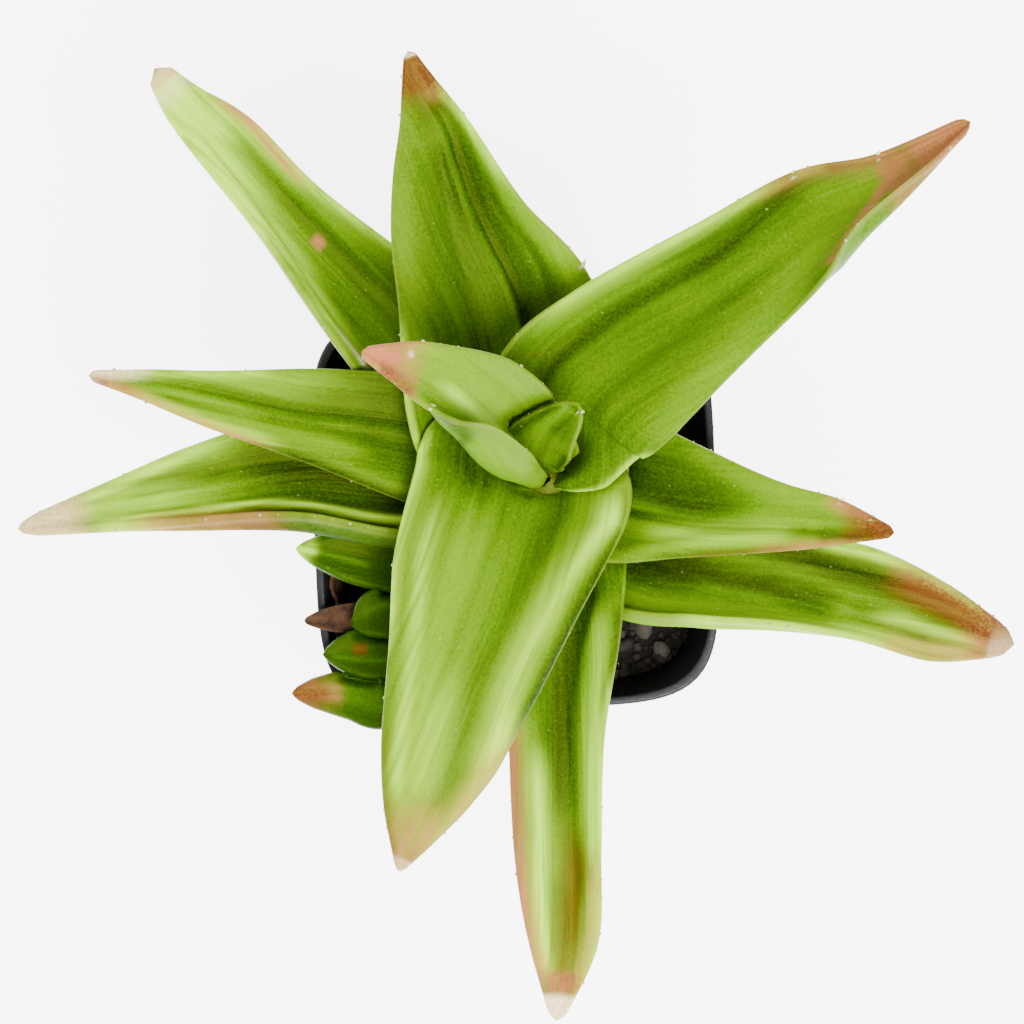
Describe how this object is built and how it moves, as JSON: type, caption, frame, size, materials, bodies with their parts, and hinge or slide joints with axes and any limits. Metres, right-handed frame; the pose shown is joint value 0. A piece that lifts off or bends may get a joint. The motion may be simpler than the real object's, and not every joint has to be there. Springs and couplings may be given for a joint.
{
  "type": "potted succulent plant",
  "caption": "Rosette succulent with long pointed fleshy leaves and a small offset shoot, growing in a square black nursery pot of soil.",
  "frame": {"origin": "the middle of the flat bottom of the pot", "axes": "+Z up out of the pot; +X to the right and +Y up in a view from above, with the largest leaf reaching towards +X+Y"},
  "size_m": [0.1429, 0.1369, 0.0985],
  "materials": {
    "pot": "satin black moulded plastic",
    "soil": "dark crumbly potting mix",
    "stem": "matt fleshy stem",
    "leaf": "waxy yellow-green, striped lengthwise",
    "outer_leaf": "waxy green with pale variegated bands and pink-brown tips",
    "offset": "waxy deeper green",
    "dry": "dry papery brown"
  },
  "bodies": {
    "root": {"pot": "pot", "soil": "soil", "stem": "stem", "offset_shoot": "offset", "dry_leaf": "dry", "dry_strip": "dry", "leaf_bud": "leaf", "leaf_inner": "leaf", "leaf_upper_right": "leaf", "leaf_front": "leaf", "leaf_top": "leaf", "leaf_right": "leaf", "leaf_left": "leaf", "leaf_lower_front": "outer_leaf", "leaf_upper_left": "outer_leaf", "leaf_lower_right": "outer_leaf", "leaf_lower_left": "outer_leaf"}
  },
  "joints": []
}
